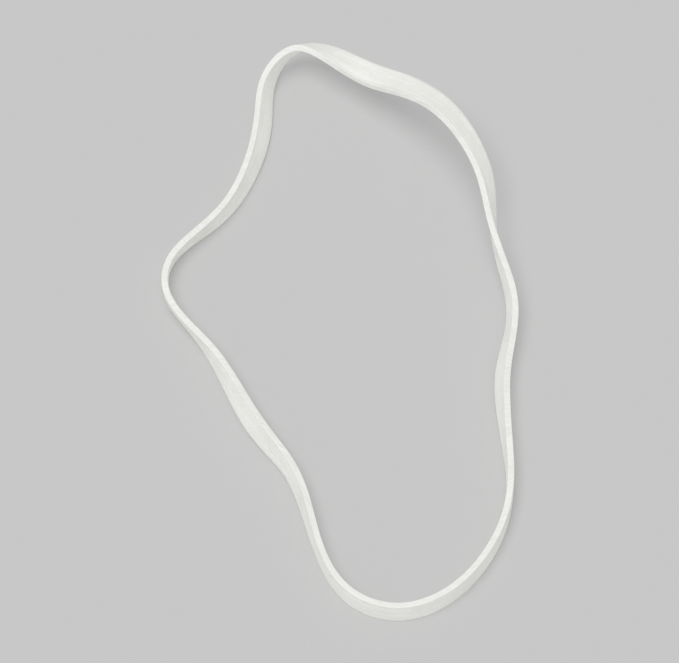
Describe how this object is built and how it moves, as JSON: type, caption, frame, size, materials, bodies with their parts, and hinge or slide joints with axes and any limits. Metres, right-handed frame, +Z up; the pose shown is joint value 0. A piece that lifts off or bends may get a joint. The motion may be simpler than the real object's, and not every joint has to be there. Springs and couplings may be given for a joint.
{
  "type": "rubber band",
  "caption": "Flat white rubber band for holding papers or parts together, lying open: a closed strip with square-cut edges that stands on edge at its bends and arches over a corner.",
  "frame": {"origin": "on the table, under the middle of the space that the band covers", "axes": "+Z up from the table; +Y along the loop, from the round bend to the tight turn; +X towards the side that stands on edge"},
  "size_m": [0.0404, 0.0734, 0.0107],
  "materials": {
    "white_rubber": "matt off-white rubber with a trace of dusting powder"
  },
  "bodies": {
    "root": {"rubber_band": "white_rubber"}
  },
  "joints": []
}
